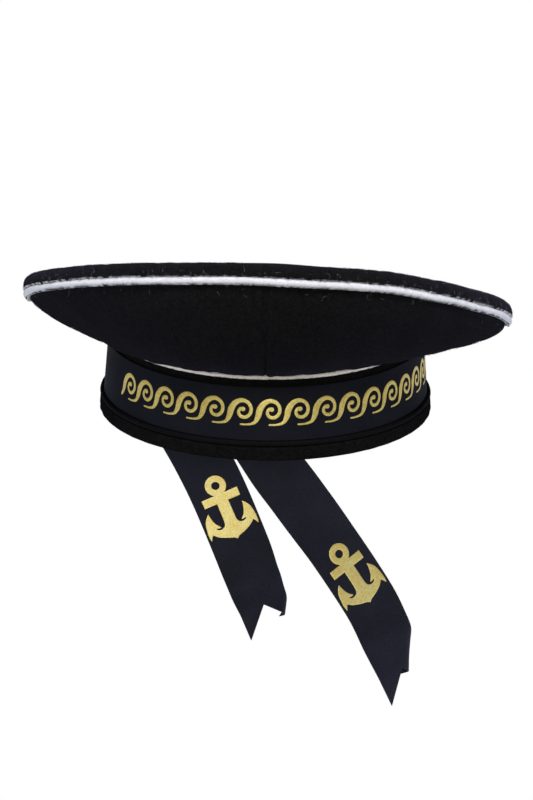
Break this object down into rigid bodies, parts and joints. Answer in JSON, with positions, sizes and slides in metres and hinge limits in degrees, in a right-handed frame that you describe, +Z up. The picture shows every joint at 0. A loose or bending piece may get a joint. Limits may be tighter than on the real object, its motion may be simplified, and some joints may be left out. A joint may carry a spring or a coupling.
{
  "type": "sailor cap",
  "caption": "Black wool sailor cap: wide flat crown with white rim piping on an upright band, a satin ribbon round the band and ribbon tails hanging at the back.",
  "frame": {"origin": "middle of the head opening, in the plane of the band's lower edge", "axes": "+Z up out of the head; the cap's front faces -Y; +X is on the right seen from the front"},
  "size_m": [0.2764, 0.2654, 0.3335],
  "materials": {
    "black_wool": "matt, fulled wool cloth",
    "black_cord": "matt, cloth-covered cord",
    "white_cord": "matt, cloth-covered cord",
    "ribbon_satin": "soft sheen, woven ribbon with gold foil print"
  },
  "bodies": {
    "root": {"crown_top": "black_wool", "side_panel_left": "black_wool", "side_panel_right": "black_wool", "rim_piping": "white_cord", "band": "black_wool", "band_hem": "black_wool", "band_piping": "white_cord", "lower_piping": "black_cord", "tally_ribbon": "ribbon_satin", "tail_left": "ribbon_satin", "tail_right": "ribbon_satin"}
  },
  "joints": []
}
